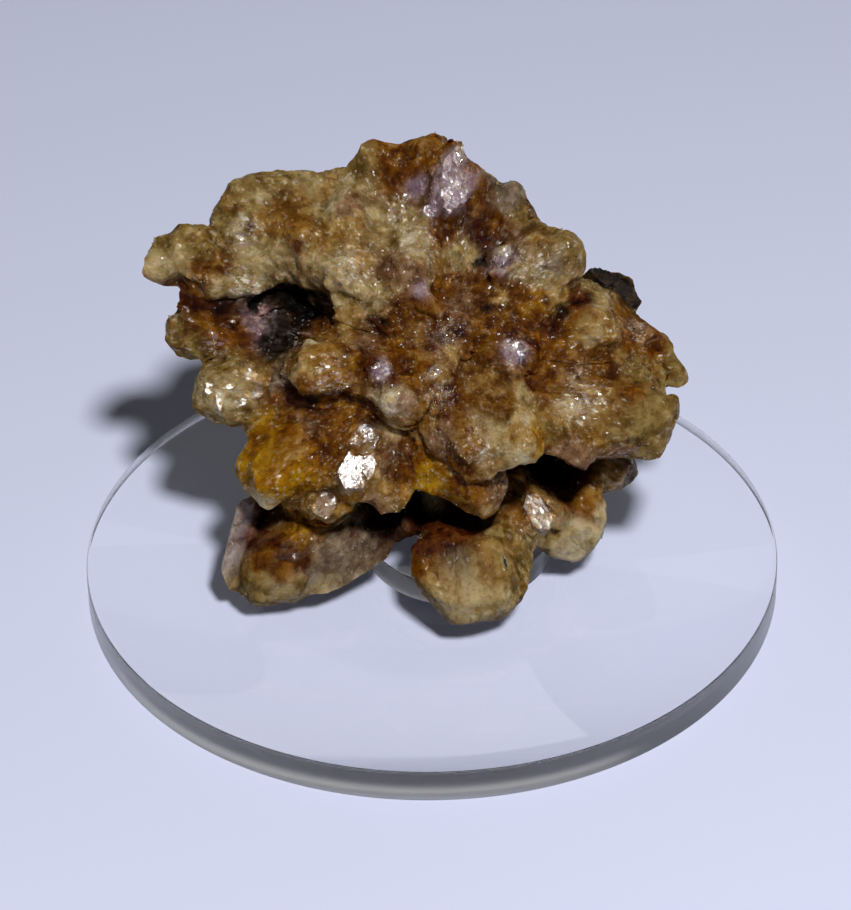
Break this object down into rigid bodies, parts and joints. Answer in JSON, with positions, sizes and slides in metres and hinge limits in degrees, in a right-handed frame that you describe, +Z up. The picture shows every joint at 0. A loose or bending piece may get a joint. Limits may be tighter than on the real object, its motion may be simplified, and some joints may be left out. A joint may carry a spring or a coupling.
{
  "type": "citrine cluster",
  "caption": "Honey-brown citrine crystal cluster, a spray of stubby frosted crystals, resting on a clear acrylic riser and round base disc.",
  "frame": {"origin": "centre of the base disc's underside", "axes": "+Z up; the side meant to be seen faces -Y; the widest spread of the crystals runs along X"},
  "size_m": [0.08, 0.08, 0.0523],
  "materials": {
    "citrine": "frosted, cloudy honey-brown quartz with small glassy faces",
    "acrylic": "clear polished acrylic"
  },
  "bodies": {
    "root": {"citrine_cluster": "citrine", "riser_disc": "acrylic", "base_disc": "acrylic"}
  },
  "joints": []
}
